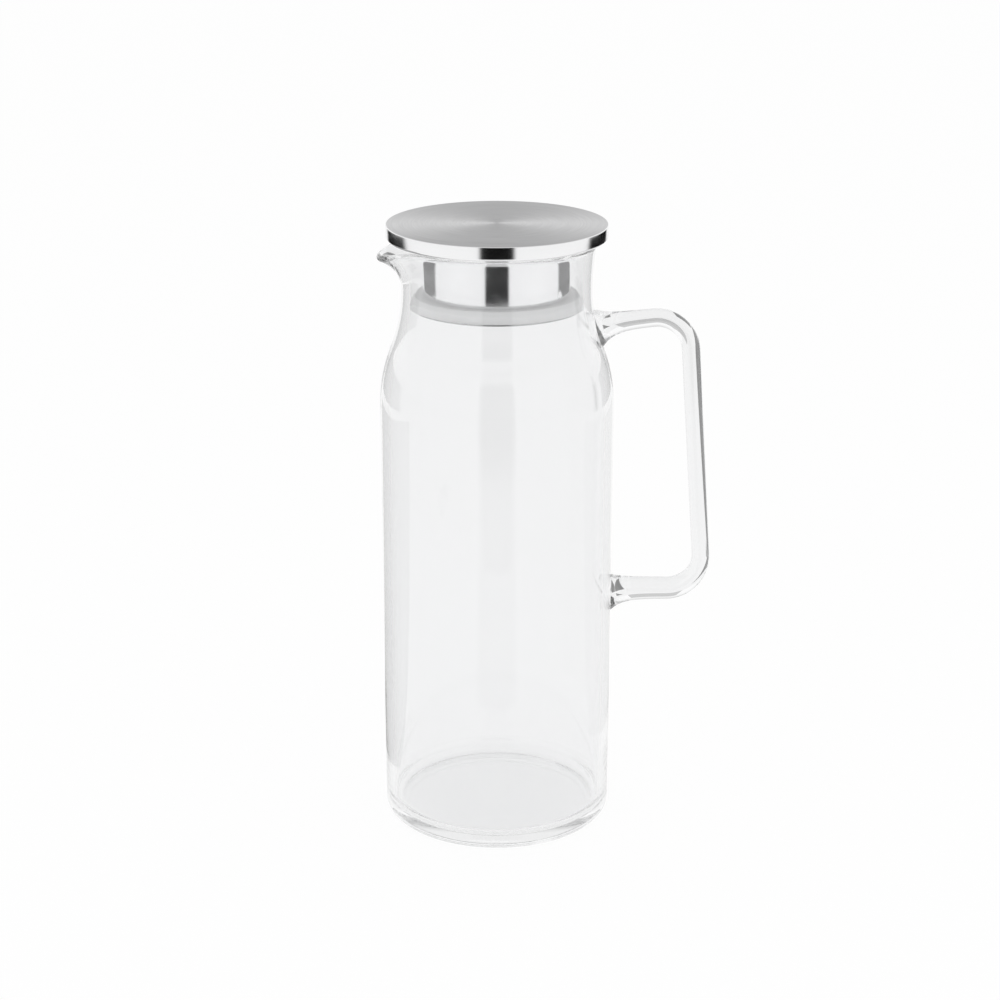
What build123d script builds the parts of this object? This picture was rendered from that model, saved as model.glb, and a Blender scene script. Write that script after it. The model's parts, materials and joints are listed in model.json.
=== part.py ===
from build123d import *
import os
from math import atan, cos, exp, pi, radians, sin, sqrt, tan

os.makedirs("parts", exist_ok=True)

# A clear glass pitcher with a steel plug lid. Sizes are in millimetres, angles in degrees.
# The jug stands on Z = 0 with its axis on Z, its spout towards -X and its handle towards +X.

# Overall sizes: base to lid top, and spout tip to the outside of the handle
total_height = 260.0
total_width = 140.0

# Blown jug
body_radius = 48.75
glass_wall = 3.5
base_thickness = 4.5
heel_radius = 4.5
heel_steps = 3
floor_corner_radius = 7.0
shoulder_length = 49.5
outer_shoulder_steps = 6
inner_shoulder_steps = 4
neck_radius = 39.35
neck_length = 19.4
rim_radius = 40.4
rim_lean = 5.0
rim_steps = 2

# Pulled spout
spout_reach = 49.25
spout_drop = 6.4
spout_lean = 71.0
spout_half_angle = 62.0
spout_sharpness = 6
lip_thickness = 2.8
neck_rise_share = 0.41
lip_run_share = 0.30
spout_steps = 14
wall_steps = 4
weld_tolerance = 0.002

# Solid glass handle
grip_diameter = 7.6
lower_bar_diameter = 9.6
upper_bar_drop = 34.6
upper_bar_rise = 6.0
lower_bar_height = 101.0
grip_lean = 4.1
bend_radius = 14.5
bend_steps = 6
foot_flare = 5.2
foot_flare_length = 4.6
foot_depth = 1.8
foot_sag = 3.2
foot_width_share = 0.45
lower_foot_share = 0.6
foot_steps = 4

# Lid cap, pressed from sheet
cap_radius = 45.4
cap_height = 5.9
sheet = 0.8
cap_edge_radius = 0.4
cap_hem_radius = 1.1
cap_edge_steps = 2
cap_hem_steps = 1
rim_gap = 1.7

# Plug below the cap
sleeve_radius = 30.2
sleeve_drop = 22.7
seal_height = 5.0
seal_bevel = 1.7
seal_seat_depth = 2.6
seal_clearance = 0.3
base_overhang = 1.2
base_plate = 0.9
fit_clearance = 0.1

# Clamp screw
screw_radius = 2.5
screw_head_radius = 4.75
screw_head_height = 2.8
screw_tip_cover = 1.5

# Places that follow from the sizes above
cap_bottom = total_height - cap_height
rim_height = cap_bottom - rim_gap
neck_height = rim_height - neck_length
shoulder_height = neck_height - shoulder_length
handle_reach = total_width - spout_reach
bore_radius = neck_radius - glass_wall


def turned(*edges):
    """Solid of revolution about Z of a face whose edges are drawn as (radius, height)."""
    return revolve(Plane.XZ * make_face(edges), Axis.Z)


def ring(inner_radius, outer_radius, low, high):
    """Plain turned ring, or a disc when the inner radius is zero."""
    return turned(Polyline(
        (inner_radius, low), (outer_radius, low), (outer_radius, high), (inner_radius, high), close=True))


def eased(start, corner, end, steps):
    """Quarter-round corner from start to end, drawn in a few straight steps."""
    start = Vector(*start)
    end = Vector(*end)
    centre = start + end - Vector(*corner)
    points = []
    for step in range(steps + 1):
        angle = step / steps * pi / 2
        points.append(centre + (end - centre) * sin(angle) + (start - centre) * cos(angle))
    return Polyline(*points)


# Shoulder: two equal arcs make the S from the body to the neck.
shoulder_angle = 2 * atan((body_radius - neck_radius) / shoulder_length)
shoulder_arc = shoulder_length / 2 / sin(shoulder_angle)


def shoulder_inset(climb):
    """How far the jug has drawn in from its body, at a height above the shoulder's start."""
    if climb > shoulder_length / 2:
        return body_radius - neck_radius - shoulder_inset(shoulder_length - climb)
    return shoulder_arc - sqrt(shoulder_arc ** 2 - climb ** 2)


def shoulder(wall, steps):
    """The S in straight steps, moved inwards by the wall."""
    points = []
    for step in range(steps + 1):
        climb = shoulder_length * step / steps
        points.append((body_radius - wall - shoulder_inset(climb), shoulder_height + climb))
    return Polyline(*points)


# Wall of the neck, from its narrowest ring to the rim. Towards the spout its middle line is drawn
# out and down, and the rim keeps its round edge all the way.
def neck_wall(turn):
    """Outside, rounded rim and inside of the wall, at an angle in radians from the spout's middle."""
    share = min(abs(turn) / radians(spout_half_angle), 1.0)
    pull = cos(share * pi / 2) ** spout_sharpness
    half_wall = glass_wall / 2
    half_lip = half_wall + pull * (lip_thickness / 2 - half_wall)
    lean = radians(rim_lean + pull * (spout_lean - rim_lean))
    rim_end = Vector(rim_radius - half_wall, rim_height - half_wall)
    spout_end = Vector(spout_reach - lip_thickness / 2, rim_height - spout_drop)
    lip_end = rim_end + (spout_end - rim_end) * pull
    lip_way = Vector(sin(lean), cos(lean))
    foot = Vector(neck_radius - half_wall, neck_height)
    rise = foot + Vector(0, neck_length * neck_rise_share)
    run = lip_end - lip_way * neck_length * lip_run_share
    middle = Bezier(foot, rise, run, lip_end)

    def side_curve(side):
        points = []
        for step in range(wall_steps + 1):
            t = step / wall_steps
            way = middle % t
            reach = half_wall + (half_lip - half_wall) * t
            points.append((middle @ t) + Vector(way.Y, -way.X) * reach * side)
        return Spline(points, tangents=[(0, 1), lip_way])

    outside = side_curve(1)
    inside = side_curve(-1)
    round_over = lip_way * half_lip
    lip_tip = lip_end + round_over
    outer_edge = eased(outside @ 1, (outside @ 1) + round_over, lip_tip, rim_steps)
    inner_edge = eased(lip_tip, (inside @ 1) + round_over, inside @ 1, rim_steps)
    return [outside, outer_edge, inner_edge, inside]


# Jug without its spout, turned in one piece, and the same jug's outside as a solid
inner_side = body_radius - glass_wall
heel_start = body_radius - heel_radius
floor_edge = inner_side - floor_corner_radius
floor_corner_top = base_thickness + floor_corner_radius
outer_skin = [
    Line((0, 0), (heel_start, 0)),
    eased((heel_start, 0), (body_radius, 0), (body_radius, heel_radius), heel_steps),
    Line((body_radius, heel_radius), (body_radius, shoulder_height)),
    shoulder(0, outer_shoulder_steps),
]
inner_skin = [
    shoulder(glass_wall, inner_shoulder_steps),
    Line((inner_side, shoulder_height), (inner_side, floor_corner_top)),
    eased((inner_side, floor_corner_top), (inner_side, base_thickness), (floor_edge, base_thickness), heel_steps),
    Polyline((floor_edge, base_thickness), (0, base_thickness), (0, 0)),
]
jug_round = turned(*outer_skin, *neck_wall(pi), *inner_skin)
jug_envelope = turned(*outer_skin, Polyline((neck_radius, neck_height), (0, neck_height), (0, 0)))

# Spout: the neck's wall lofted through sections that turn about the axis, let into the round jug
spout_half_turn = radians(spout_half_angle)
spout_foot = neck_height - glass_wall


def spout_section(step):
    """Section of the spout's wall, run down a little below the narrowest ring."""
    turn = spout_half_turn * (2 * step / spout_steps - 1)
    wall = neck_wall(turn)
    outer_foot = Vector(neck_radius, spout_foot)
    inner_foot = Vector(bore_radius, spout_foot)
    foot_edges = [Line(outer_foot, wall[0] @ 0), Line(outer_foot, inner_foot), Line(inner_foot, wall[-1] @ 0)]
    outward = Vector(-cos(turn), sin(turn), 0)
    upright = Plane(origin=(0, 0, 0), x_dir=outward, z_dir=(outward.Y, -outward.X, 0))
    return upright * make_face([*wall, *foot_edges])


def above_neck(arc):
    """Sector of a large cylinder above the narrowest ring, from +X round the axis."""
    return Pos(0, 0, neck_height) * Cylinder(
        total_width, total_height, arc_size=arc, align=(Align.NONE, Align.NONE, Align.MIN))


spout_loft = loft([spout_section(step) for step in range(spout_steps + 1)])
spout = spout_loft & above_neck(360)
spout_room = Rot(0, 0, 180 - spout_half_angle) * above_neck(2 * spout_half_angle)
glass_body = (jug_round - spout_room).fuse(spout, tol=weld_tolerance)

# Handle: round sections along a twice-bent line, thicker in the lower bar and swelling into a
# weld foot at each end. It is trimmed to the jug's outside, where the two are melted together.
grip_radius = grip_diameter / 2
lower_bar_radius = lower_bar_diameter / 2
upper_bar_height = rim_height - upper_bar_drop
upper_foot_radius = body_radius - shoulder_inset(upper_bar_height - foot_sag - shoulder_height)
lean_angle = radians(grip_lean)
lean_slope = tan(lean_angle)
rise_slope = tan(radians(upper_bar_rise))
bend_centre_x = handle_reach - grip_radius - bend_radius
grip_foot_x = bend_centre_x + bend_radius * (cos(lean_angle) + (1 + sin(lean_angle)) * lean_slope)
upper_start = Vector(upper_foot_radius - foot_depth, 0, upper_bar_height)
lower_start = Vector(body_radius - foot_depth, 0, lower_bar_height)
lower_corner = Vector(grip_foot_x, 0, lower_bar_height)
level_climb = upper_bar_height - lower_bar_height + (grip_foot_x - upper_start.X) * rise_slope
corner_climb = level_climb / (1 + lean_slope * rise_slope)
upper_corner = lower_corner + Vector(-corner_climb * lean_slope, 0, corner_climb)
handle_line = FilletPolyline(upper_start, upper_corner, lower_corner, lower_start, radius=bend_radius)

# Distances along the handle's line at which its bends start and end
upper_bend_angle = pi / 2 + radians(upper_bar_rise) - lean_angle
lower_bend_angle = pi / 2 - lean_angle
upper_bend_start = (upper_corner - upper_start).length - bend_radius * tan(upper_bend_angle / 2)
upper_bend_end = upper_bend_start + bend_radius * upper_bend_angle
lower_bar_run = (lower_corner - lower_start).length - bend_radius * tan(lower_bend_angle / 2)
lower_bend_end = handle_line.length - lower_bar_run
lower_bend_start = lower_bend_end - bend_radius * lower_bend_angle


def handle_section(run):
    """Round section of the handle at a distance along its line, swollen near its feet."""
    share = run / handle_line.length
    upper_swell = exp(-max(run - foot_depth, 0) / foot_flare_length)
    lower_swell = exp(-max(handle_line.length - run - foot_depth, 0) / foot_flare_length)
    bent = min(max((run - lower_bend_start) / (lower_bend_end - lower_bend_start), 0), 1)
    thicken = bent * bent * (3 - 2 * bent)
    size = grip_radius + (lower_bar_radius - grip_radius) * thicken
    half_height = size + foot_flare * (upper_swell + lower_foot_share * lower_swell)
    half_width = size + foot_flare * foot_width_share * (upper_swell + lower_swell)
    sag = Vector(0, 0, foot_sag * (upper_swell + lower_foot_share * lower_swell))
    plane = Plane(origin=handle_line @ share - sag, x_dir=(0, 1, 0), z_dir=handle_line % share)
    return plane * Ellipse(half_width, half_height)


def stretch(start, end, steps):
    """Evenly spaced distances from the start up to, but not with, the end."""
    return [start + (end - start) * step / steps for step in range(steps)]


upper_foot_end = foot_depth + 3 * foot_flare_length
lower_foot_end = handle_line.length - upper_foot_end
runs = [
    0,
    *stretch(foot_depth, upper_foot_end, foot_steps),
    *stretch(upper_foot_end, upper_bend_start, 1),
    *stretch(upper_bend_start, upper_bend_end, bend_steps),
    *stretch(upper_bend_end, lower_bend_start, 1),
    *stretch(lower_bend_start, lower_bend_end, bend_steps),
    *stretch(lower_bend_end, lower_foot_end, 1),
    *stretch(lower_foot_end, handle_line.length - foot_depth, foot_steps),
    handle_line.length - foot_depth,
    handle_line.length,
]
handle = loft([handle_section(run) for run in runs], ruled=True) - jug_envelope

# Lid cap: a shallow pressed shell with a rounded top edge and a lower edge rolled in
cap_inner = cap_radius - sheet
cap_ceiling = total_height - sheet
cap_edge = cap_radius - cap_edge_radius
cap_edge_height = total_height - cap_edge_radius
hem_radius = cap_radius - cap_hem_radius
hem_height = cap_bottom + cap_hem_radius
lid_cap = turned(
    Line((0, total_height), (cap_edge, total_height)),
    eased((cap_edge, total_height), (cap_radius, total_height), (cap_radius, cap_edge_height), cap_edge_steps),
    Line((cap_radius, cap_edge_height), (cap_radius, hem_height)),
    eased((cap_radius, hem_height), (cap_radius, cap_bottom), (hem_radius, cap_bottom), cap_hem_steps),
    Polyline((hem_radius, cap_bottom), (hem_radius, hem_height), (cap_inner, hem_height),
             (cap_inner, cap_ceiling), (0, cap_ceiling), (0, total_height)),
)

# Plug levels and radii
sleeve_bottom = cap_bottom - sleeve_drop
seal_bottom = sleeve_bottom - seal_height
base_bottom = seal_bottom - base_plate
sleeve_bore = sleeve_radius - sheet
seal_radius = bore_radius - seal_clearance
seal_bore = sleeve_bore - seal_seat_depth
seat_radius = seal_bore - seal_clearance
screw_top = cap_ceiling - screw_tip_cover
screw_hole = screw_radius + fit_clearance

# Liner: a disc held in the cap by the rolled edge, which carries sleeve and core
lid_liner = ring(0, cap_inner - fit_clearance, hem_height, cap_ceiling) - ring(0, screw_hole, hem_height, screw_top)

# Sleeve: a plain steel tube from the liner down to the seal
plug_sleeve = ring(sleeve_bore, sleeve_radius, sleeve_bottom, hem_height)

# Core: a moulded drum in the sleeve, stepped in below it as the seal's seat
core_drum = ring(0, sleeve_bore - fit_clearance, sleeve_bottom, hem_height)
core_seat = ring(0, seat_radius, seal_bottom, sleeve_bottom)
plug_core = core_drum + core_seat - ring(0, screw_hole, seal_bottom, hem_height)

# Seal: a bevelled ring between the sleeve's lower edge and the base plate
seal_shoulder = seal_radius - seal_bevel
seal_ring = turned(Polyline(
    (seal_bore, seal_bottom), (seal_radius, seal_bottom), (seal_radius, sleeve_bottom - seal_bevel),
    (seal_shoulder, sleeve_bottom), (seal_bore, sleeve_bottom), close=True))

# Base plate below the seal, and the screw that clamps plate, core and liner together
plug_base = ring(screw_hole, seal_radius - base_overhang, base_bottom, seal_bottom)
screw_shank = ring(0, screw_radius, base_bottom, screw_top)
screw_head = ring(0, screw_head_radius, base_bottom - screw_head_height, base_bottom)
plug_screw = screw_shank + screw_head

export_step(glass_body, "parts/glass_body.step")
export_step(handle, "parts/handle.step")
export_step(lid_cap, "parts/lid_cap.step")
export_step(lid_liner, "parts/lid_liner.step")
export_step(plug_sleeve, "parts/plug_sleeve.step")
export_step(plug_core, "parts/plug_core.step")
export_step(seal_ring, "parts/seal_ring.step")
export_step(plug_base, "parts/plug_base.step")
export_step(plug_screw, "parts/plug_screw.step")
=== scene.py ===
# %% [markdown]
# # A glass pitcher with a steel plug lid
# The real pitcher is a blown glass jug with a pulled spout, a bent glass rod welded on as its
# handle, and a steel lid whose plug sits in the neck on a silicone ring. The imported model gives
# every piece its place and its real size, in metres, with the jug's axis on Z, the spout towards
# -X and the handle towards +X. This lesson dresses that model: smooth turned meshes stand for the
# stepped solids, and every surface gets a finish built from nodes.

# %% Load the imported model and keep its nodes
import json
from math import atan, cos, exp, hypot, pi, radians, sin, sqrt, tan

import bmesh
import bpy
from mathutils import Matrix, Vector

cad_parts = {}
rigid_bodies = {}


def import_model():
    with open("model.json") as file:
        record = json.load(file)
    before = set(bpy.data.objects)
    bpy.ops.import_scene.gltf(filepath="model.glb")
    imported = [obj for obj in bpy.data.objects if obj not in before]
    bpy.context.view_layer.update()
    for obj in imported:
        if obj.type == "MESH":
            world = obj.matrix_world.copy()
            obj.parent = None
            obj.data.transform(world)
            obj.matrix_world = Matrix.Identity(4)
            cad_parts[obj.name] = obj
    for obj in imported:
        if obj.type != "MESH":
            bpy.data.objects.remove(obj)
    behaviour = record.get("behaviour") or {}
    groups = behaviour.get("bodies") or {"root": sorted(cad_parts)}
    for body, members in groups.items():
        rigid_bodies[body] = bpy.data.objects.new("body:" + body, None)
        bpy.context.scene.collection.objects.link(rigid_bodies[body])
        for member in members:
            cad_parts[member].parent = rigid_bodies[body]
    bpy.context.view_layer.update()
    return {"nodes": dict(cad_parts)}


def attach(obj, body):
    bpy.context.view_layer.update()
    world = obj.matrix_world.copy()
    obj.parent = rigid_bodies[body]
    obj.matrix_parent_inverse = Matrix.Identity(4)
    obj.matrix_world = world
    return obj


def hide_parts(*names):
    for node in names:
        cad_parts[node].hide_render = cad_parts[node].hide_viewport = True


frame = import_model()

MM = 0.001
scene = bpy.context.scene

# %% [markdown]
# ## Tools for turned pieces
# Jug, cap, sleeve, ring and plate are all round about one axis. They could be stacked from
# cylinders, but a turner's way is shorter and leaves no seams: draw half of the section as a line
# of edges, by extruding one vertex from point to point, and spin that line once round the axis.
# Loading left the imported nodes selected, so each tool first deselects everything.

# %% Draw a section and spin it
def draw_section(name, points):
    """Line of edges through (radius, height) points in millimetres, left in edit mode."""
    bpy.ops.object.select_all(action="DESELECT")
    bpy.ops.mesh.primitive_plane_add(size=MM)
    piece = bpy.context.object
    piece.name = name
    piece.data.name = name
    bpy.ops.object.mode_set(mode="EDIT")
    bpy.ops.mesh.select_all(action="SELECT")
    bpy.ops.mesh.merge(type="CENTER")
    here = Vector((0, 0, 0))
    for index, (radius, height) in enumerate(points):
        there = Vector((radius, 0, height)) * MM
        if index == 0:
            bpy.ops.transform.translate(value=there)
        else:
            bpy.ops.mesh.extrude_vertices_move(TRANSFORM_OT_translate={"value": there - here})
        here = there
    return piece


def clean_up(piece, crease=35):
    """Merge doubles, turn the faces outwards and shade them smoothly up to a crease angle."""
    bpy.ops.object.mode_set(mode="EDIT")
    bpy.ops.mesh.select_all(action="SELECT")
    bpy.ops.mesh.remove_doubles(threshold=0.001 * MM)
    bpy.ops.mesh.dissolve_degenerate(threshold=0.0005 * MM)
    bpy.ops.mesh.normals_make_consistent(inside=False)
    bpy.ops.object.mode_set(mode="OBJECT")
    bpy.ops.object.shade_smooth_by_angle(angle=radians(crease))
    print(piece.name, "has", len(piece.data.polygons), "faces")
    return piece


def turn_piece(name, points, steps, crease=35):
    """Spin a section once round the Z axis."""
    piece = draw_section(name, points)
    bpy.ops.mesh.select_all(action="SELECT")
    bpy.ops.mesh.spin(steps=steps, angle=2 * pi, center=(0, 0, 0), axis=(0, 0, 1))
    return clean_up(piece, crease)


def round_corner(centre, radius, start, end, steps):
    """Points of an arc in the section, from one angle in degrees to another."""
    points = []
    for step in range(steps + 1):
        angle = radians(start + (end - start) * step / steps)
        points.append((centre[0] + radius * cos(angle), centre[1] + radius * sin(angle)))
    return points


def between(start, end, steps):
    """Evenly spaced points after the start and before the end."""
    return [tuple(Vector(start).lerp(Vector(end), step / steps)) for step in range(1, steps)]


# %% [markdown]
# ## The blown jug
# The jug is one skin of clear glass about 3.5 mm thick: a flat base with a rounded heel, straight
# walls, an S-shaped shoulder and a short neck with a fire-polished rim. A surface with a Solidify
# modifier would do for an even wall, but the base is thicker than the sides and the rim is
# rounded, so the section is drawn with its outside and its inside and spun as a closed shell.

# %% Section of the jug's body
body_radius = 48.75
glass_wall = 3.5
base_thickness = 4.5
heel_radius = 4.5
floor_corner_radius = 7.0
shoulder_height = 183.5
shoulder_length = 49.5
neck_radius = 39.35
neck_height = shoulder_height + shoulder_length
rim_height = 252.4
shoulder_angle = 2 * atan((body_radius - neck_radius) / shoulder_length)
shoulder_arc = shoulder_length / 2 / sin(shoulder_angle)


def jug_radius(height):
    """Outside radius of the jug below its neck: straight, then an S of two equal arcs."""
    climb = min(max(height - shoulder_height, 0), shoulder_length)
    half = shoulder_length / 2
    drawn_in = shoulder_arc - sqrt(shoulder_arc ** 2 - (half - abs(climb - half)) ** 2)
    if climb > half:
        drawn_in = body_radius - neck_radius - drawn_in
    return body_radius - drawn_in


def shoulder_points(wall, steps):
    """The S from body to neck, moved inwards by the wall."""
    heights = [shoulder_height + shoulder_length * step / steps for step in range(steps + 1)]
    return [(jug_radius(height) - wall, height) for height in heights]


shoulder_steps = 28
inner_radius = body_radius - glass_wall
heel_centre = (body_radius - heel_radius, heel_radius)
corner_centre = (inner_radius - floor_corner_radius, base_thickness + floor_corner_radius)
outer_section = [
    (0, 0), (20, 0), (36, 0),
    *round_corner(heel_centre, heel_radius, -90, 0, 8),
    *between((body_radius, heel_radius), (body_radius, shoulder_height), 8),
    *shoulder_points(0, shoulder_steps),
]
inner_section = [
    *reversed(shoulder_points(glass_wall, shoulder_steps)),
    *between((inner_radius, shoulder_height), (inner_radius, corner_centre[1]), 8),
    *round_corner(corner_centre, floor_corner_radius, 0, -90, 8),
    (26, base_thickness), (13, base_thickness), (0, base_thickness),
]
print("section points below the neck:", len(outer_section), "outside,", len(inner_section), "inside")

# %% [markdown]
# ## The neck and the pulled spout
# A glassmaker warms one side of the rim and draws it out and down with a tool, so the spout is
# the same wall, bent over and a little thinner, with no seam. By hand this is a proportional
# edit; here each neck vertex follows the solid's own rule instead, so that the drawn lip lies
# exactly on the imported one. The rule bends the wall's middle line, a Bezier curve, by a pull that
# is full at the spout's middle and fades to nothing at its sides.

# %% The wall of the neck at any angle from the spout
rim_radius = 40.4
rim_lean = 5.0
neck_length = rim_height - neck_height
spout_reach = 49.25
spout_drop = 6.4
spout_lean = 71.0
spout_half_angle = 62.0
spout_sharpness = 6
lip_thickness = 2.8
neck_rise_share = 0.41
lip_run_share = 0.30


def neck_point(place, turn):
    """(radius, height) of a place of the neck's wall, at an angle from the spout's middle."""
    part, across, along = place
    pull = cos(min(abs(turn) / radians(spout_half_angle), 1) * pi / 2) ** spout_sharpness
    half_wall = glass_wall / 2
    half_lip = half_wall + pull * (lip_thickness / 2 - half_wall)
    lean = radians(rim_lean + pull * (spout_lean - rim_lean))
    lip_way = Vector((sin(lean), cos(lean)))
    rim_end = Vector((rim_radius - half_wall, rim_height - half_wall))
    spout_end = Vector((spout_reach - lip_thickness / 2, rim_height - spout_drop))
    end = rim_end.lerp(spout_end, pull)
    if part == "rim":
        out = Vector((lip_way.y, -lip_way.x))
        return tuple(end + (out * across + lip_way * along) * half_lip)
    foot = Vector((neck_radius - half_wall, neck_height))
    rise = foot + Vector((0, neck_length * neck_rise_share))
    run = end - lip_way * neck_length * lip_run_share
    t, s = along, 1 - along
    middle = foot * s ** 3 + rise * 3 * s * s * t + run * 3 * s * t * t + end * t ** 3
    way = ((rise - foot) * s * s + (run - rise) * 2 * s * t + (end - run) * t * t).normalized()
    reach = half_wall + (half_lip - half_wall) * t
    return tuple(middle + Vector((way.y, -way.x)) * reach * across)


wall_steps = 16
rim_steps = 12
wall_shares = [step / wall_steps for step in range(1, wall_steps + 1)]
rim_angles = [pi * step / rim_steps for step in range(1, rim_steps)]
neck_places = [
    *[("wall", 1, share) for share in wall_shares],
    *[("rim", cos(angle), sin(angle)) for angle in rim_angles],
    *[("wall", -1, share) for share in reversed(wall_shares)],
]
round_neck = [neck_point(place, pi) for place in neck_places]
print("spout tip in mm:", [round(c, 2) for c in neck_point(("rim", 0, 1), 0)])

# %% Spin the jug and pull its spout
jug_steps = 192
close = 0.01
jug = turn_piece("glass_jug", [*outer_section, *round_neck, *inner_section], jug_steps)
pulled = 0
for vertex in jug.data.vertices:
    radius = hypot(vertex.co.x, vertex.co.y) / MM
    height = vertex.co.z / MM
    if height < neck_height + close:
        continue
    outward = Vector((vertex.co.x, vertex.co.y, 0)).normalized()
    turn = outward.angle(Vector((-1, 0, 0)))
    nearest = min(
        range(len(round_neck)),
        key=lambda i: hypot(round_neck[i][0] - radius, round_neck[i][1] - height))
    new_radius, new_height = neck_point(neck_places[nearest], turn)
    vertex.co = outward * new_radius * MM + Vector((0, 0, new_height * MM))
    pulled += 1
print("neck vertices placed:", pulled)

# %% [markdown]
# ## The glass rod handle
# The handle is a solid rod, heated and bent twice, a little thicker in its lower bar and swelling
# at both ends where it was melted on. A curve with a round bevel would give the rod, but not the
# oval feet, so a ring of edges is led along instead: spun round each bend, extruded along each
# bar, and scaled as it goes. Headless, the spin operator turns against the right-hand rule, so
# its angles are negative here.

# %% The handle's line
grip_radius = 3.8
lower_bar_radius = 4.8
upper_bar_height = rim_height - 34.6
upper_bar_rise = radians(6.0)
lower_bar_height = 101.0
grip_lean = radians(4.1)
bend_radius = 14.5
handle_reach = 140.0 - spout_reach
foot_depth = 1.8
foot_sag = 3.2
upper_start = Vector((jug_radius(upper_bar_height - foot_sag) - foot_depth, 0, upper_bar_height))
bend_centre_x = handle_reach - grip_radius - bend_radius
lean_slope = tan(grip_lean)
grip_foot_x = bend_centre_x + bend_radius * (cos(grip_lean) + (1 + sin(grip_lean)) * lean_slope)
lower_corner = Vector((grip_foot_x, 0, lower_bar_height))
level_climb = upper_bar_height - lower_bar_height + (grip_foot_x - upper_start.x) * tan(upper_bar_rise)
corner_climb = level_climb / (1 + lean_slope * tan(upper_bar_rise))
upper_corner = lower_corner + Vector((-corner_climb * lean_slope, 0, corner_climb))
upper_way = (upper_corner - upper_start).normalized()
grip_way = (lower_corner - upper_corner).normalized()
lower_way = Vector((-1, 0, 0))
upper_bend = upper_way.angle(grip_way)
lower_bend = grip_way.angle(lower_way)
upper_bend_start = upper_corner - upper_way * bend_radius * tan(upper_bend / 2)
upper_bend_end = upper_corner + grip_way * bend_radius * tan(upper_bend / 2)
lower_bend_start = lower_corner - grip_way * bend_radius * tan(lower_bend / 2)
lower_bend_end = lower_corner + lower_way * bend_radius * tan(lower_bend / 2)
lower_start = Vector((body_radius - foot_depth, 0, lower_bar_height))
inwards_y = Vector((0, 1, 0))
print("bends in degrees:", round(upper_bend * 180 / pi, 1), round(lower_bend * 180 / pi, 1))


# %% Ring tools for the rod
def push_ring(centre, step, grow=(1, 1, 1)):
    """Extrude the selected ring by a step in millimetres and scale it about its new centre."""
    bpy.ops.mesh.extrude_region_move(TRANSFORM_OT_translate={"value": step * MM})
    centre = centre + step
    bpy.ops.transform.resize(value=grow, center_override=centre * MM)
    return centre


def bend_ring(centre, pivot, angle, steps, sizes):
    """Spin the selected ring about a pivot, scaling it to the given radii on the way."""
    arm = centre - pivot
    for step in range(steps):
        bpy.ops.mesh.spin(steps=1, angle=-angle / steps, center=pivot * MM, axis=inwards_y)
        turned = angle * (step + 1) / steps
        across = inwards_y.cross(arm)
        centre = pivot + arm * cos(turned) + across * sin(turned)
        grow = sizes[step + 1] / sizes[step]
        bpy.ops.transform.resize(value=(grow, grow, grow), center_override=centre * MM)
    return centre


foot_flare = 5.2
foot_flare_length = 4.6
foot_width_share = 0.45
foot_steps = 16
foot_crowding = 1.6


def foot_shape(size, distance, share):
    """Half width, half height and sag of the rod at a distance from where it meets the glass."""
    swell = exp(-max(distance, 0) / foot_flare_length)
    half_width = size + foot_flare * foot_width_share * swell
    half_height = size + foot_flare * share * swell
    return Vector((half_width, half_height, foot_sag * share * swell))


def flare_foot(centre, start, way, size, share):
    """Lead the ring from its bar into the swelling foot, closer and closer steps to the glass."""
    length = (start - centre).length
    last = foot_shape(size, length - foot_depth, share)
    done = 0
    first_grow = Vector((last.x / size, last.y / size))
    bpy.ops.transform.resize(value=(first_grow.y, first_grow.x, first_grow.y), center_override=centre * MM)
    for step in range(1, foot_steps + 1):
        left = length * (1 - step / foot_steps) ** foot_crowding
        new = foot_shape(size, left - foot_depth, share)
        move = way * (length - left - done) + Vector((0, 0, last.z - new.z))
        grow = (new.y / last.y, new.x / last.x, new.y / last.y)
        centre = push_ring(centre, move, grow)
        done = length - left
        last = new
    return centre


def seat_ring(piece):
    """Set the selected end ring a little below the jug's skin, and close it."""
    mesh = bmesh.from_edit_mesh(piece.data)
    for vertex in mesh.verts:
        if vertex.select:
            radius = (jug_radius(vertex.co.z / MM) - foot_depth) * MM
            vertex.co.x = sqrt(radius ** 2 - vertex.co.y ** 2)
    bmesh.update_edit_mesh(piece.data)
    bpy.ops.mesh.edge_face_add()


# %% Lead the rod round the handle
rod_sides = 48
bend_steps = 16
grip_steps = 6
upper_foot_share = 1.0
lower_foot_share = 0.6
bpy.ops.object.select_all(action="DESELECT")
bpy.ops.mesh.primitive_circle_add(
    vertices=rod_sides, radius=grip_radius * MM, location=upper_bend_start * MM,
    rotation=(0, pi / 2 - upper_bar_rise, 0))
rod = bpy.context.object
rod.name = "glass_rod"
bpy.ops.object.transform_apply(location=True, rotation=True, scale=True)
bpy.ops.object.mode_set(mode="EDIT")
bpy.ops.mesh.select_all(action="SELECT")
upper_pivot = upper_bend_start + inwards_y.cross(upper_way) * bend_radius
even = [grip_radius] * (bend_steps + 1)
bend_ring(upper_bend_start, upper_pivot, upper_bend, bend_steps, even)
grip_run = lower_bend_start - upper_bend_end
ring_centre = upper_bend_end
for step in range(grip_steps):
    ring_centre = push_ring(ring_centre, grip_run / grip_steps)
lower_pivot = lower_bend_start + inwards_y.cross(grip_way) * bend_radius
thicken = [step / bend_steps for step in range(bend_steps + 1)]
thicker = [grip_radius + (lower_bar_radius - grip_radius) * t * t * (3 - 2 * t) for t in thicken]
ring_centre = bend_ring(lower_bend_start, lower_pivot, lower_bend, bend_steps, thicker)
ring_centre = flare_foot(ring_centre, lower_start, lower_way, lower_bar_radius, lower_foot_share)
seat_ring(rod)
bpy.ops.mesh.select_all(action="DESELECT")
rod_mesh = bmesh.from_edit_mesh(rod.data)
for vertex in rod_mesh.verts:
    off = vertex.co / MM - upper_bend_start
    vertex.select = abs(off.dot(upper_way)) < close and off.length < grip_radius + close
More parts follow.
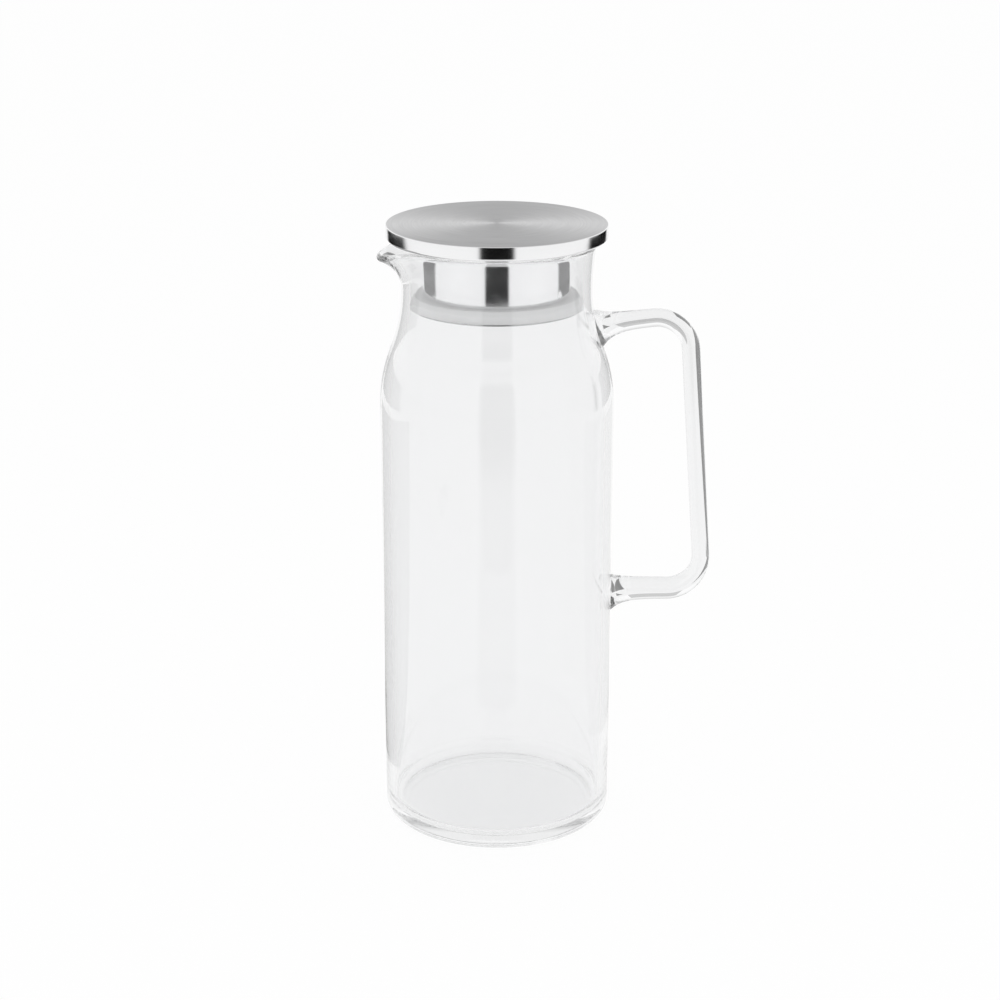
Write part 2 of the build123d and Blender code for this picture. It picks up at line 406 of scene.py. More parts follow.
rod_mesh.select_flush(True)
bmesh.update_edit_mesh(rod.data)
flare_foot(upper_bend_start, upper_start, -upper_way, grip_radius, upper_foot_share)
seat_ring(rod)
clean_up(rod, crease=40)
rod_reach = max(vertex.co.x for vertex in rod.data.vertices)
print("handle reaches x =", round(rod_reach / MM, 2), "mm")

# %% [markdown]
# ## Melting the rod onto the jug
# On the real pitcher the two welds leave no surface between rod and wall: the glass runs through.
# Two closed glass meshes that only touch would refract at a skin that isn't there, so a Boolean
# union joins them into one body of glass. The joined skin is smoothed again up to a small crease
# angle, so that the sharp edge of each weld isn't shaded round.

# %% Join rod and jug
bpy.ops.object.select_all(action="DESELECT")
jug.select_set(True)
bpy.context.view_layer.objects.active = jug
weld = jug.modifiers.new("weld", "BOOLEAN")
weld.operation = "UNION"
weld.solver = "EXACT"
weld.object = rod
bpy.ops.object.modifier_apply(modifier="weld")
bpy.data.objects.remove(rod)
clean_up(jug, crease=28)
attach(jug, "pitcher")
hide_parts("glass_body", "handle")

# %% [markdown]
# ## The lid: cap, sleeve, ring and plate
# The cap is pressed from sheet with a small round edge, and its lower edge is rolled in. Below it
# a drawn tube, the sleeve, carries the silicone ring, clamped by a thin plate. All four are spun
# from their sections, with the small rounds that catch the light on real sheet and rubber.

# %% Cap
lid_steps = 160
cap_radius = 45.4
cap_top = 260.0
cap_bottom = 254.1
sheet = 0.8
cap_edge = 0.4
hem = 1.1
hem_gap = 0.05
cap = turn_piece("lid_cap_shell", [
    (0, cap_top), (12, cap_top), (24, cap_top), (36, cap_top),
    *round_corner((cap_radius - cap_edge, cap_top - cap_edge), cap_edge, 90, 0, 8),
    *round_corner((cap_radius - hem, cap_bottom + hem), hem, 0, -90, 8),
    (cap_radius - hem, cap_bottom + hem - hem_gap), (cap_radius - sheet, cap_bottom + hem - hem_gap),
    (cap_radius - sheet, cap_top - sheet), (24, cap_top - sheet), (0, cap_top - sheet),
], lid_steps, crease=28)
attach(cap, "lid")
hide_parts("lid_cap")

# %% Sleeve
sleeve_radius = 30.2
sleeve_bottom = 231.4
sleeve_top = 255.2
lip = 0.3
end_zone = 6
sleeve = turn_piece("plug_sleeve_tube", [
    (sleeve_radius - sheet, sleeve_top), (sleeve_radius, sleeve_top), (sleeve_radius, sleeve_top - end_zone),
    (sleeve_radius, sleeve_bottom + end_zone),
    *round_corner((sleeve_radius - lip, sleeve_bottom + lip), lip, 0, -90, 4),
    (sleeve_radius - sheet, sleeve_bottom), (sleeve_radius - sheet, sleeve_top),
], lid_steps)
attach(sleeve, "lid")
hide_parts("plug_sleeve")

# %% Silicone ring
seal_radius = 35.55
seal_bore = 26.8
seal_bottom = 226.4
seal_bevel = 1.7
soft = 0.4
seal = turn_piece("seal_ring_silicone", [
    (seal_bore, sleeve_bottom), (seal_radius - seal_bevel - soft, sleeve_bottom),
    *round_corner((seal_radius - seal_bevel - soft, sleeve_bottom - soft), soft, 90, 45, 3),
    *round_corner((seal_radius - soft, sleeve_bottom - seal_bevel - soft), soft, 45, 0, 3),
    *round_corner((seal_radius - soft, seal_bottom + soft), soft, 0, -90, 5),
    (seal_bore, seal_bottom), (seal_bore, sleeve_bottom),
], lid_steps)
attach(seal, "seal")
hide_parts("seal_ring")

# %% Plate below the ring
plate_radius = 34.35
plate_bottom = 225.5
plate_round = 0.35
plate_hole = 2.6
plate = turn_piece("plug_base_plate", [
    (plate_hole, seal_bottom), (plate_radius - plate_round, seal_bottom),
    *round_corner((plate_radius - plate_round, seal_bottom - plate_round), plate_round, 90, 0, 4),
    *round_corner((plate_radius - plate_round, plate_bottom + plate_round), plate_round, 0, -90, 4),
    (plate_hole, plate_bottom), (plate_hole, seal_bottom),
], lid_steps)
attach(plate, "lid")
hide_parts("plug_base")

# %% [markdown]
# ## The clamp screw
# Under the plug a screw holds plate, core and liner together. Only its head shows, from below. A
# cylinder at the head's size gets its shank by inset and extrude, a six-sided socket is cut with
# a Boolean, and the head's rim is bevelled.

# %% Screw with a socket head
screw_radius = 2.5
screw_head_radius = 4.75
screw_head_height = 2.8
screw_top = 257.7
head_bevel = 0.6
socket_radius = 2.3
socket_length = 3.6
head_bottom = plate_bottom - screw_head_height
bpy.ops.object.select_all(action="DESELECT")
bpy.ops.mesh.primitive_cylinder_add(
    vertices=64, radius=screw_head_radius * MM, depth=screw_head_height * MM,
    location=(0, 0, (head_bottom + screw_head_height / 2) * MM))
screw = bpy.context.object
screw.name = "plug_screw_socket"
bpy.ops.object.transform_apply(location=True, rotation=True, scale=True)
bpy.ops.object.mode_set(mode="EDIT")
bpy.ops.mesh.select_all(action="DESELECT")
screw_mesh = bmesh.from_edit_mesh(screw.data)
for face in screw_mesh.faces:
    face.select = face.normal.z > 0.9
bmesh.update_edit_mesh(screw.data)
bpy.ops.mesh.inset(thickness=(screw_head_radius - screw_radius) * MM)
bpy.ops.mesh.extrude_region_move(TRANSFORM_OT_translate={"value": (0, 0, (screw_top - plate_bottom) * MM)})
bpy.ops.mesh.select_all(action="DESELECT")
for edge in screw_mesh.edges:
    edge.select = all(v.co.z < (head_bottom + 0.1) * MM for v in edge.verts)
bmesh.update_edit_mesh(screw.data)
bpy.ops.mesh.bevel(offset=head_bevel * MM, segments=4)
bpy.ops.object.mode_set(mode="OBJECT")
bpy.ops.object.select_all(action="DESELECT")
bpy.ops.mesh.primitive_cylinder_add(
    vertices=6, radius=socket_radius * MM, depth=socket_length * MM, location=(0, 0, head_bottom * MM))
socket = bpy.context.object
bpy.ops.object.select_all(action="DESELECT")
screw.select_set(True)
bpy.context.view_layer.objects.active = screw
cut = screw.modifiers.new("socket", "BOOLEAN")
cut.operation = "DIFFERENCE"
cut.solver = "EXACT"
cut.object = socket
bpy.ops.object.modifier_apply(modifier="socket")
bpy.data.objects.remove(socket)
clean_up(screw)
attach(screw, "lid")
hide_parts("plug_screw")

# %% [markdown]
# ## Shared effects for the finishes
# Three effects turn up on more than one surface, so each is a node group with named sockets.
# Turned lines are the fine scratches that polishing and brushing leave along one direction.
# Handling haze is the faint uneven film that any glossy thing carries. Moulded grain is the soft
# mottle of plastic and silicone.

# %% Node tools
def new_group(name, inputs, outputs):
    """Empty shader node group with float or vector inputs and float outputs."""
    group = bpy.data.node_groups.new(name, "ShaderNodeTree")
    for label, kind in inputs:
        group.interface.new_socket(label, in_out="INPUT", socket_type=kind)
    for label in outputs:
        group.interface.new_socket(label, in_out="OUTPUT", socket_type="NodeSocketFloat")
    entry = group.nodes.new("NodeGroupInput")
    leave = group.nodes.new("NodeGroupOutput")
    return group, entry, leave


def math_node(tree, operation, first, second=None):
    """Math node whose inputs are sockets or plain numbers."""
    node = tree.nodes.new("ShaderNodeMath")
    node.operation = operation
    for index, value in enumerate((first, second)):
        if isinstance(value, (int, float)):
            node.inputs[index].default_value = value
        elif value is not None:
            tree.links.new(value, node.inputs[index])
    return node.outputs[0]


def span(tree, value, low, high):
    """Stretch a value between 0 and 1 onto a range."""
    node = tree.nodes.new("ShaderNodeMapRange")
    node.inputs["To Min"].default_value = low
    node.inputs["To Max"].default_value = high
    tree.links.new(value, node.inputs["Value"])
    return node.outputs["Result"]


# %% Turned lines
turned_lines, entry, leave = new_group(
    "turned_lines",
    [("Distance", "NodeSocketFloat"), ("Angle", "NodeSocketFloat"), ("Density", "NodeSocketFloat")],
    ["Lines", "Patches"])
lines_at = turned_lines.nodes.new("ShaderNodeCombineXYZ")
across_lines = math_node(turned_lines, "MULTIPLY", entry.outputs["Distance"], entry.outputs["Density"])
along_lines = math_node(turned_lines, "MULTIPLY", entry.outputs["Angle"], 1.5)
turned_lines.links.new(across_lines, lines_at.inputs["X"])
turned_lines.links.new(along_lines, lines_at.inputs["Y"])
fine_lines = turned_lines.nodes.new("ShaderNodeTexNoise")
fine_lines.inputs["Scale"].default_value = 1.0
fine_lines.inputs["Detail"].default_value = 4.0
fine_lines.inputs["Roughness"].default_value = 0.65
turned_lines.links.new(lines_at.outputs["Vector"], fine_lines.inputs["Vector"])
turned_lines.links.new(fine_lines.outputs["Fac"], leave.inputs["Lines"])
patch_at = turned_lines.nodes.new("ShaderNodeCombineXYZ")
across_patches = math_node(turned_lines, "MULTIPLY", entry.outputs["Distance"], 120.0)
turned_lines.links.new(across_patches, patch_at.inputs["X"])
turned_lines.links.new(entry.outputs["Angle"], patch_at.inputs["Y"])
broad_patches = turned_lines.nodes.new("ShaderNodeTexNoise")
broad_patches.inputs["Scale"].default_value = 1.6
broad_patches.inputs["Detail"].default_value = 2.0
turned_lines.links.new(patch_at.outputs["Vector"], broad_patches.inputs["Vector"])
turned_lines.links.new(broad_patches.outputs["Fac"], leave.inputs["Patches"])
print("group:", turned_lines.name)

# %% Handling haze
handling_haze, entry, leave = new_group(
    "handling_haze", [("Place", "NodeSocketVector"), ("Size", "NodeSocketFloat")], ["Haze", "Ripple"])
film = handling_haze.nodes.new("ShaderNodeTexNoise")
film.inputs["Detail"].default_value = 5.0
film.inputs["Distortion"].default_value = 0.6
handling_haze.links.new(entry.outputs["Place"], film.inputs["Vector"])
handling_haze.links.new(entry.outputs["Size"], film.inputs["Scale"])
film_ramp = handling_haze.nodes.new("ShaderNodeValToRGB")
film_ramp.color_ramp.elements[0].position = 0.45
film_ramp.color_ramp.elements[1].position = 0.75
handling_haze.links.new(film.outputs["Fac"], film_ramp.inputs["Fac"])
handling_haze.links.new(film_ramp.outputs["Color"], leave.inputs["Haze"])
swell = handling_haze.nodes.new("ShaderNodeTexNoise")
swell.inputs["Detail"].default_value = 1.0
handling_haze.links.new(entry.outputs["Place"], swell.inputs["Vector"])
swell_size = math_node(handling_haze, "MULTIPLY", entry.outputs["Size"], 0.6)
handling_haze.links.new(swell_size, swell.inputs["Scale"])
handling_haze.links.new(swell.outputs["Fac"], leave.inputs["Ripple"])
print("group:", handling_haze.name)

# %% Moulded grain
moulded_grain, entry, leave = new_group(
    "moulded_grain", [("Place", "NodeSocketVector"), ("Size", "NodeSocketFloat")], ["Grain", "Mottle"])
grain = moulded_grain.nodes.new("ShaderNodeTexNoise")
grain.inputs["Detail"].default_value = 3.0
moulded_grain.links.new(entry.outputs["Place"], grain.inputs["Vector"])
moulded_grain.links.new(entry.outputs["Size"], grain.inputs["Scale"])
moulded_grain.links.new(grain.outputs["Fac"], leave.inputs["Grain"])
mottle = moulded_grain.nodes.new("ShaderNodeTexNoise")
mottle.inputs["Detail"].default_value = 2.0
moulded_grain.links.new(entry.outputs["Place"], mottle.inputs["Vector"])
mottle_size = math_node(moulded_grain, "MULTIPLY", entry.outputs["Size"], 0.06)
moulded_grain.links.new(mottle_size, mottle.inputs["Scale"])
moulded_grain.links.new(mottle.outputs["Fac"], leave.inputs["Mottle"])
print("group:", moulded_grain.name)


# %% Material tools
class Finish:
    """One material with its shader, its object coordinates and short ways to wire them."""

    def __init__(self, name):
        self.material = bpy.data.materials.new(name)
        self.material.use_nodes = True
        self.tree = self.material.node_tree
        self.shader = self.tree.nodes["Principled BSDF"]
        self.place = self.tree.nodes.new("ShaderNodeTexCoord").outputs["Object"]

    def set(self, **values):
        """Plain values on the shader's own sockets; underscores stand for spaces."""
        for label, value in values.items():
            self.shader.inputs[label.replace("_", " ")].default_value = value

    def group(self, group, **values):
        node = self.tree.nodes.new("ShaderNodeGroup")
        node.node_tree = group
        for label, value in values.items():
            if isinstance(value, (int, float)):
                node.inputs[label].default_value = value
            else:
                self.tree.links.new(value, node.inputs[label])
        return node

    def feed(self, value, label):
        self.tree.links.new(value, self.shader.inputs[label])

    def tint(self, value, dark, light):
        """Base colour between two tones."""
        mix = self.tree.nodes.new("ShaderNodeMix")
        mix.data_type = "RGBA"
        mix.inputs["A"].default_value = (*dark, 1)
        mix.inputs["B"].default_value = (*light, 1)
        self.tree.links.new(value, mix.inputs["Factor"])
        self.feed(mix.outputs["Result"], "Base Color")

    def bump(self, value, distance, strength):
        node = self.tree.nodes.new("ShaderNodeBump")
        node.inputs["Distance"].default_value = distance
        node.inputs["Strength"].default_value = strength
        self.tree.links.new(value, node.inputs["Height"])
        self.feed(node.outputs["Normal"], "Normal")

    def polar(self):
        """Distance from the Z axis, angle round it and height."""
        parts = self.tree.nodes.new("ShaderNodeSeparateXYZ")
        self.tree.links.new(self.place, parts.inputs["Vector"])
        x, y, z = parts.outputs
        squares = math_node(
            self.tree, "ADD", math_node(self.tree, "MULTIPLY", x, x), math_node(self.tree, "MULTIPLY", y, y))
        radius = math_node(self.tree, "SQRT", squares)
        angle = math_node(self.tree, "ARCTAN2", y, x)
        return radius, angle, z

    def round_the_axis(self):
        """Lay the shader's tangent round the Z axis, along the turned lines."""
        tangent = self.tree.nodes.new("ShaderNodeTangent")
        tangent.direction_type = "RADIAL"
        tangent.axis = "Z"
        self.feed(tangent.outputs["Tangent"], "Tangent")

    def wear(self, *pieces):
        for piece in pieces:
            piece.data.materials.clear()
            piece.data.materials.append(self.material)


# %% [markdown]
# ## Clear glass
# Borosilicate glass bends light a little less than window glass. Blown walls are never quite
# even, so a faint ripple bends what is seen through them, and a thin film from handling makes the
# surface less than perfectly sharp. Both are far below what the eye picks out one by one. A clear
# jug throws hardly any shadow, but Cycles takes refracting glass as solid when it looks for a lamp.
# So for shadow rays alone the glass is a plain, slightly grey filter that lets the light through.

# %% Glass finish
glass = Finish("clear_blown_glass")
glass.set(IOR=1.47, Transmission_Weight=1.0, Metallic=0.0, Specular_IOR_Level=0.5)
film_on_glass = glass.group(handling_haze, Place=glass.place, Size=38.0)
glass.tint(film_on_glass.outputs["Haze"], (0.975, 0.977, 0.980), (0.971, 0.973, 0.976))
glass.feed(span(glass.tree, film_on_glass.outputs["Haze"], 0.0, 0.02), "Roughness")
glass.bump(film_on_glass.outputs["Ripple"], 0.0006, 0.12)
clear = glass.tree.nodes.new("ShaderNodeBsdfTransparent")
clear.inputs["Color"].default_value = (0.95, 0.955, 0.955, 1)
light_path = glass.tree.nodes.new("ShaderNodeLightPath")
let_through = glass.tree.nodes.new("ShaderNodeMixShader")
glass.tree.links.new(light_path.outputs["Is Shadow Ray"], let_through.inputs["Fac"])
glass.tree.links.new(glass.shader.outputs["BSDF"], let_through.inputs[1])
glass.tree.links.new(clear.outputs["BSDF"], let_through.inputs[2])
glass.tree.links.new(let_through.outputs["Shader"], glass.tree.nodes["Material Output"].inputs["Surface"])
glass.wear(jug)
print("glass on", jug.name)

# %% [markdown]
# ## Brushed and polished steel
# The cap's top is brushed in circles, which spreads reflections across the lines and makes two
# pale wedges that turn with the light. Its band and the sleeve are polished and mirror the
# studio. The brushing is real anisotropy along a radial tangent, with fine lines for the grooves.

# %% Brushed steel
def brushed_steel(name, dark, light, roughness, anisotropy):
    finish = Finish(name)
    finish.set(Metallic=1.0, Anisotropic=anisotropy, Anisotropic_Rotation=0.25)
    radius, angle, _ = finish.polar()
    lines = finish.group(turned_lines, Distance=radius, Angle=angle, Density=1600.0)
    finish.tint(lines.outputs["Lines"], dark, light)
    finish.feed(span(finish.tree, lines.outputs["Patches"], roughness * 0.9, roughness * 1.1), "Roughness")
    finish.bump(lines.outputs["Lines"], 0.00004, 0.35)
    finish.round_the_axis()
    return finish


cap_top_steel = brushed_steel(
    "brushed_cap_steel", (0.38, 0.38, 0.384), (0.61, 0.61, 0.615), roughness=0.34, anisotropy=0.85)
plate_steel = brushed_steel(
    "satin_plate_steel", (0.5, 0.5, 0.505), (0.66, 0.66, 0.665), roughness=0.28, anisotropy=0.5)
screw_steel = brushed_steel(
    "satin_screw_steel", (0.45, 0.45, 0.455), (0.58, 0.58, 0.585), roughness=0.3, anisotropy=0.3)
plate_steel.wear(plate)
screw_steel.wear(screw)
print("brushed steel on", plate.name, "and", screw.name)


# %% Polished steel
def polished_steel(name, dark, light, roughness, anisotropy):
    finish = Finish(name)
    finish.set(Metallic=1.0, Anisotropic=anisotropy, Anisotropic_Rotation=0.25)
    _, angle, height = finish.polar()
    lines = finish.group(turned_lines, Distance=height, Angle=angle, Density=9000.0)
    haze = finish.group(handling_haze, Place=finish.place, Size=45.0)
    finish.tint(lines.outputs["Patches"], dark, light)
    finish.feed(span(finish.tree, haze.outputs["Haze"], roughness, roughness * 1.8), "Roughness")
    finish.bump(lines.outputs["Lines"], 0.00001, 0.2)
    finish.round_the_axis()
    return finish


band_steel = polished_steel(
    "polished_band_steel", (0.88, 0.88, 0.885), (0.93, 0.93, 0.935), roughness=0.11, anisotropy=0.0)
sleeve_steel = polished_steel(
    "polished_sleeve_steel", (0.92, 0.92, 0.925), (0.97, 0.97, 0.975), roughness=0.10, anisotropy=0.8)
sleeve_steel.wear(sleeve)
band_steel.wear(cap)
cap.data.materials.append(cap_top_steel.material)
top_faces = 0
for face in cap.data.polygons:
    if face.normal.z > 0.95 and face.center.z > (cap_top - 0.1) * MM:
        face.material_index = 1
        top_faces += 1
print("brushed faces on the cap:", top_faces)

# %% [markdown]
# ## Silicone and plastic
# The ring is milky silicone: light goes in, scatters and comes out again, which subsurface
# scattering gives. The liner and the core inside the lid are plain moulded plastic.

# %% Silicone
silicone = Finish("milky_silicone")
silicone.set(Subsurface_Weight=0.7, Subsurface_Radius=(0.004, 0.004, 0.004), Subsurface_Scale=1.0)
skin = silicone.group(moulded_grain, Place=silicone.place, Size=900.0)
silicone.tint(skin.outputs["Mottle"], (0.955, 0.957, 0.957), (0.985, 0.987, 0.987))
silicone.feed(span(silicone.tree, skin.outputs["Grain"], 0.36, 0.5), "Roughness")
silicone.bump(skin.outputs["Grain"], 0.00005, 0.2)
silicone.wear(seal)
print("silicone on", seal.name)


# %% Moulded plastic on the liner and the core
def moulded_plastic(name, dark, light):
    finish = Finish(name)
    skin = finish.group(moulded_grain, Place=finish.place, Size=1400.0)
    finish.tint(skin.outputs["Mottle"], dark, light)
    finish.feed(span(finish.tree, skin.outputs["Grain"], 0.42, 0.58), "Roughness")
    finish.bump(skin.outputs["Grain"], 0.00005, 0.3)
    return finish


liner_plastic = moulded_plastic("liner_moulding", (0.72, 0.72, 0.72), (0.78, 0.78, 0.78))
core_plastic = moulded_plastic("core_moulding", (0.68, 0.68, 0.69), (0.74, 0.74, 0.75))
liner_plastic.wear(frame["nodes"]["lid_liner"])
core_plastic.wear(frame["nodes"]["plug_core"])
print("plastic on lid_liner and plug_core")

# %% [markdown]
# ## Floor
# The pitcher stands on a matt white floor that runs to the horizon. Lit evenly, such a floor
# renders pale grey, so it is lifted towards white for rays from the eye: straight, off a mirror or
# through glass. It still takes the pitcher's soft shadow. It lies a hair below the base, because a
# floor in the very plane of the glass would be met first and hide the mirror of the underside.

# %% Floor
def eye_share(tree, straight, mirrored, through):
    """How much the floor is lifted for rays from the eye: straight, off a mirror or through glass."""
    path = tree.nodes.new("ShaderNodeLightPath")
    seen = math_node(tree, "MULTIPLY", path.outputs["Is Camera Ray"], straight)
    bounced = math_node(tree, "MULTIPLY", path.outputs["Is Glossy Ray"], path.outputs["Is Reflection Ray"])
    glossy = math_node(tree, "MULTIPLY", bounced, mirrored)
    passed = math_node(tree, "MULTIPLY", path.outputs["Is Transmission Ray"], through)
    return math_node(tree, "MAXIMUM", math_node(tree, "MAXIMUM", seen, glossy), passed)


def stage_plane(name, size, corners=None):
    bpy.ops.object.select_all(action="DESELECT")
    bpy.ops.mesh.primitive_plane_add(size=size)
    plane = bpy.context.object
    plane.name = name
    for vertex, corner in zip(plane.data.vertices, corners or []):
        vertex.co = corner
    return plane


floor_size = 24.0
air_gap = 0.0004
floor = stage_plane("floor", floor_size)
floor.location.z = -air_gap
floor_paint = bpy.data.materials.new("white_floor")
floor_paint.use_nodes = True
tree = floor_paint.node_tree
tree.nodes.clear()
output = tree.nodes.new("ShaderNodeOutputMaterial")
matt = tree.nodes.new("ShaderNodeBsdfDiffuse")
glow = tree.nodes.new("ShaderNodeEmission")
glow.inputs["Strength"].default_value = 1.0
matt.inputs["Color"].default_value = (0.92, 0.92, 0.92, 1)
lift = tree.nodes.new("ShaderNodeMixShader")
tree.links.new(eye_share(tree, straight=0.96, mirrored=0.93, through=0.7), lift.inputs["Fac"])
tree.links.new(matt.outputs["BSDF"], lift.inputs[1])
tree.links.new(glow.outputs["Emission"], lift.inputs[2])
tree.links.new(lift.outputs["Shader"], output.inputs["Surface"])
floor.data.materials.append(floor_paint)
print("floor", air_gap / MM, "mm below the base")

# %% [markdown]
# ## Flags
# Glass on white shows only by what is dark around it, so a studio puts dark cards, called flags,
# outside the picture: their reflections draw the edges of glass and the dark strips in polished
# steel. Plain black cards are the simple way, but every wall and rod then shows them many times
# over, as hard black lines. So each cloth here is met only by the rays it is meant for, told apart
# by how often they were mirrored and how often they passed a glass skin. The eye never sees a card.

# %% Flag tools
def on_circle(azimuth, distance, height):
    """Point round the pitcher; azimuth 0 lies towards the camera and 90 towards the handle."""
    angle = radians(azimuth)
    return Vector((sin(angle) * distance, -cos(angle) * distance, height))


def equals(tree, value, count):
    """1 where a counted value has just this count."""
    same = math_node(tree, "COMPARE", value, count)
    same.node.inputs[2].default_value = 0.5
    return same


def mirror_share(tree, outer_share, in_plug_share, inside_share):
    """How strongly a cloth meets rays off a mirror: off outer skins, off the plug, or inside a wall."""
    path = tree.nodes.new("ShaderNodeLightPath")
    mirrored = math_node(tree, "GREATER_THAN", path.outputs["Glossy Depth"], 0.5)
    outside = math_node(tree, "MULTIPLY", equals(tree, path.outputs["Transmission Depth"], 0), outer_share)
    twice_through = equals(tree, path.outputs["Transmission Depth"], 4)
    in_plug = math_node(tree, "MULTIPLY", twice_through, equals(tree, path.outputs["Glossy Depth"], 1))
    plug = math_node(tree, "MULTIPLY", in_plug, in_plug_share)
    strongest = math_node(tree, "MAXIMUM", math_node(tree, "MAXIMUM", outside, plug), inside_share)
    return math_node(tree, "MULTIPLY", mirrored, strongest)


def rod_share(tree):
    """1 for rays bent once into solid glass and once out of it, as in the handle's rod."""
    path = tree.nodes.new("ShaderNodeLightPath")
    plain = math_node(tree, "LESS_THAN", path.outputs["Glossy Depth"], 0.5)
    return math_node(tree, "MULTIPLY", plain, equals(tree, path.outputs["Transmission Depth"], 2))


def flag_cloth(name, share, density, **shares):
    """Black cloth that only some rays meet, and the socket of its density; the other rays pass."""
    cloth = bpy.data.materials.new(name)
    cloth.use_nodes = True
    tree = cloth.node_tree
    tree.nodes.clear()
    output = tree.nodes.new("ShaderNodeOutputMaterial")
    black = tree.nodes.new("ShaderNodeBsdfDiffuse")
    black.inputs["Color"].default_value = (0.008, 0.008, 0.008, 1)
    clear = tree.nodes.new("ShaderNodeBsdfTransparent")
    mix = tree.nodes.new("ShaderNodeMixShader")
    thickness = math_node(tree, "MULTIPLY", share(tree, **shares), density)
    tree.links.new(thickness, mix.inputs["Fac"])
    tree.links.new(clear.outputs["BSDF"], mix.inputs[1])
    tree.links.new(black.outputs["BSDF"], mix.inputs[2])
    tree.links.new(mix.outputs["Shader"], output.inputs["Surface"])
    return cloth, thickness.node.inputs[1]


def flag(name, cloth, corners):
    card = stage_plane(name, 1.0, corners)
    card.data.materials.append(cloth)
    card.visible_camera = False


def floor_flag(name, cloth, azimuths, distances, height=0.001):
    """Flag that lies on the floor between two azimuths and two distances."""
    flag(name, cloth, [
        on_circle(azimuth, distance, height) for distance in distances for azimuth in azimuths])


def wall_flag(name, cloth, azimuths, distance, heights):
    """Flag that stands at a distance between two azimuths and two heights."""
    flag(name, cloth, [on_circle(azimuth, distance, height) for height in heights for azimuth in azimuths])


# %% Flags for the steel and the body
def ramp(tree, value, start, end, low, high):
    """Smooth step from one value to another."""
    node = tree.nodes.new("ShaderNodeMapRange")
    node.interpolation_type = "SMOOTHSTEP"
    for label, number in (("From Min", start), ("From Max", end), ("To Min", low), ("To Max", high)):
        node.inputs[label].default_value = number
    tree.links.new(value, node.inputs["Value"])
    return node.outputs["Result"]


def around(tree):
    """Azimuth of a place on either side of the camera's direction, and its distance ahead."""
    place = tree.nodes.new("ShaderNodeTexCoord").outputs["Object"]
    parts = tree.nodes.new("ShaderNodeSeparateXYZ")
    tree.links.new(place, parts.inputs["Vector"])
    ahead = math_node(tree, "MULTIPLY", parts.outputs["Y"], -1.0)
    azimuth = math_node(tree, "ABSOLUTE", math_node(tree, "ARCTAN2", parts.outputs["X"], ahead))
    return azimuth, ahead


side_cloth, side_density = flag_cloth(
    "side_flag_cloth", mirror_share, 1.0, outer_share=1.0, in_plug_share=0.82, inside_share=0.0)
tree = side_cloth.node_tree
azimuth, _ = around(tree)
near_edge = ramp(tree, azimuth, radians(101), radians(108), 0.0, 1.0)
far_edge = ramp(tree, azimuth, radians(146), radians(151), 1.0, 0.0)
tree.links.new(math_node(tree, "MULTIPLY", near_edge, far_edge), side_density)
for side, sign in (("left", -1), ("right", 1)):
    wall_flag("flag_" + side, side_cloth, (100 * sign, 152 * sign), 0.5, (0.09, 0.19))

front_cloth, front_density = flag_cloth(
    "front_flag_cloth", mirror_share, 1.0, outer_share=1.0, in_plug_share=1.0, inside_share=0.7)
tree = front_cloth.node_tree
azimuth, ahead = around(tree)
side_edge = ramp(tree, azimuth, radians(15), radians(19.5), 1.0, 0.0)
near_fade = ramp(tree, ahead, 0.48, 0.65, 0.3, 1.0)
tree.links.new(math_node(tree, "MULTIPLY", side_edge, near_fade), front_density)
front_azimuths = (-20, 20)
front_end = 4.0
floor_flag("flag_front", front_cloth, front_azimuths, (0.2, front_end))
wall_flag("flag_front_wall", front_cloth, front_azimuths, front_end, (0.0, 1.5))
left_cloth, _ = flag_cloth(
    "left_floor_cloth", mirror_share, 0.6, outer_share=1.0, in_plug_share=0.0, inside_share=0.1)
floor_flag("flag_left_floor", left_cloth, (-152, -92), (0.09, 0.75))
right_cloth, _ = flag_cloth(
    "right_floor_cloth", mirror_share, 0.2, outer_share=1.0, in_plug_share=0.0, inside_share=0.1)
floor_flag("flag_right_floor", right_cloth, (92, 152), (0.13, 0.75))
print("flags for steel and body: two at the sides, four in front and on the floor")

# %% Flags for the rod
rod_cloth, _ = flag_cloth("rod_flag_cloth", rod_share, 0.68)
left_height = 0.002
flag("flag_rod_left", rod_cloth, [
    on_circle(-135, 0.1, left_height), on_circle(-75, 0.08, left_height),
    on_circle(-174, 0.9, left_height), on_circle(-75, 0.9, left_height)])
back_height = 0.003
flag("flag_rod_back", rod_cloth, [
    Vector((x, y, back_height)) for y in (0.06, 0.26) for x in (-0.06, 0.03)])
bar_cloth, _ = flag_cloth("bar_flag_cloth", rod_share, 0.4)
bar_flag_y = 0.6
flag("flag_bar_behind", bar_cloth, [Vector((x, bar_flag_y, z)) for z in (0.09, 0.3) for x in (0.0, 0.3)])
print("flags for the rod: three")

# %% [markdown]
# ## World and lamps
# A white tent round the pitcher gives most of the light, so the world is white at the horizon and
# greyer overhead, which keeps the lid's top from washing out. Two soft lamps in front of it add
# shape. Mirrors and glass don't show them, because they would clip to white there.

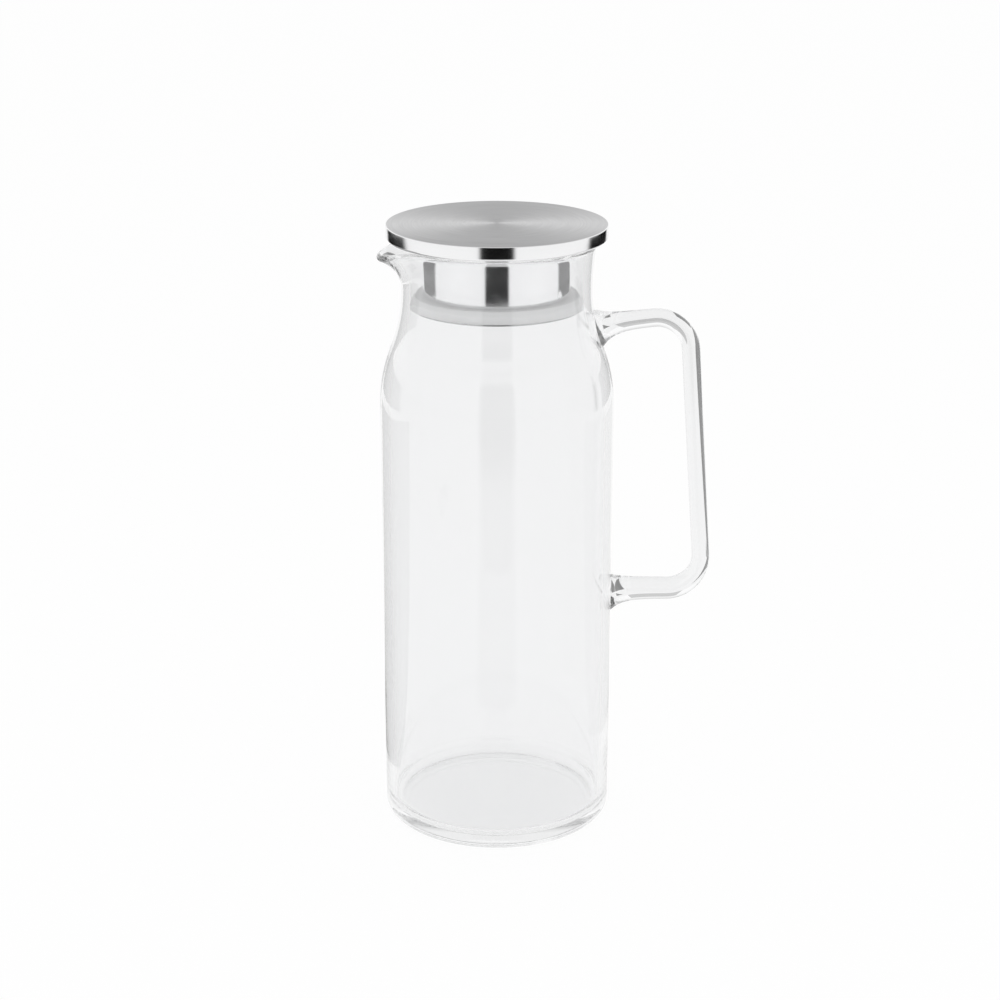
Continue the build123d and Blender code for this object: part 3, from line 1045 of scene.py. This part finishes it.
# %% World
world = bpy.data.worlds.new("studio")
scene.world = world
world.use_nodes = True
sky = world.node_tree
backdrop = sky.nodes["Background"]
direction = sky.nodes.new("ShaderNodeTexCoord")
parts = sky.nodes.new("ShaderNodeSeparateXYZ")
sky.links.new(direction.outputs["Generated"], parts.inputs["Vector"])
dome = sky.nodes.new("ShaderNodeValToRGB")
dome.color_ramp.elements[0].position = 0.3
dome.color_ramp.elements[0].color = (1, 1, 1, 1)
dome.color_ramp.elements[1].position = 0.75
dome.color_ramp.elements[1].color = (0.63, 0.63, 0.63, 1)
sky.links.new(parts.outputs["Z"], dome.inputs["Fac"])
sky.links.new(dome.outputs["Color"], backdrop.inputs["Color"])
backdrop.inputs["Strength"].default_value = 1.0
print("world", world.name, "at strength", backdrop.inputs["Strength"].default_value)

# %% Lamps
lamp_azimuth = 60
lamp_distance = 1.1
lamp_height = 0.75
aim_point = Vector((0, 0, 0.12))
for side, sign in (("left", -1), ("right", 1)):
    lamp_data = bpy.data.lights.new("softbox_" + side, "AREA")
    lamp_data.shape = "RECTANGLE"
    lamp_data.size = 0.7
    lamp_data.size_y = 0.9
    lamp_data.energy = 3.0
    lamp = bpy.data.objects.new("softbox_" + side, lamp_data)
    scene.collection.objects.link(lamp)
    lamp.location = on_circle(lamp_azimuth * sign, lamp_distance, lamp_height)
    aim = aim_point - lamp.location
    lamp.rotation_euler = aim.to_track_quat("-Z", "Y").to_euler()
    lamp.visible_glossy = False
    lamp.visible_transmission = False
    print("lamp", lamp.name, "at", [round(c, 2) for c in lamp.location])

# %% [markdown]
# ## Camera
# The camera looks along +Y and nearly twenty degrees down, from about a metre away, with a long
# lens. Light that gets into a weld or the lip is mirrored inside the glass many times before it
# comes out, and a path that is cut short renders black, so the limits on bounces are raised.

# %% Camera
camera_distance = 0.9
camera_height = 0.4507
look_down = radians(19.0)
camera_data = bpy.data.cameras.new("camera")
camera = bpy.data.objects.new("camera", camera_data)
scene.collection.objects.link(camera)
camera.location = (0, -camera_distance, camera_height)
camera.rotation_euler = (pi / 2 - look_down, 0, 0)
camera_data.sensor_width = 36
camera_data.lens = 80.82
camera_data.shift_x = 0.003
camera_data.clip_start = 0.01
scene.camera = camera
print("camera lens", round(camera_data.lens, 2), "mm")

# %% View and bounces
scene.view_settings.view_transform = "Standard"
scene.cycles.max_bounces = 128
scene.cycles.glossy_bounces = 110
scene.cycles.transmission_bounces = 110
print("light bounces at most:", scene.cycles.max_bounces)
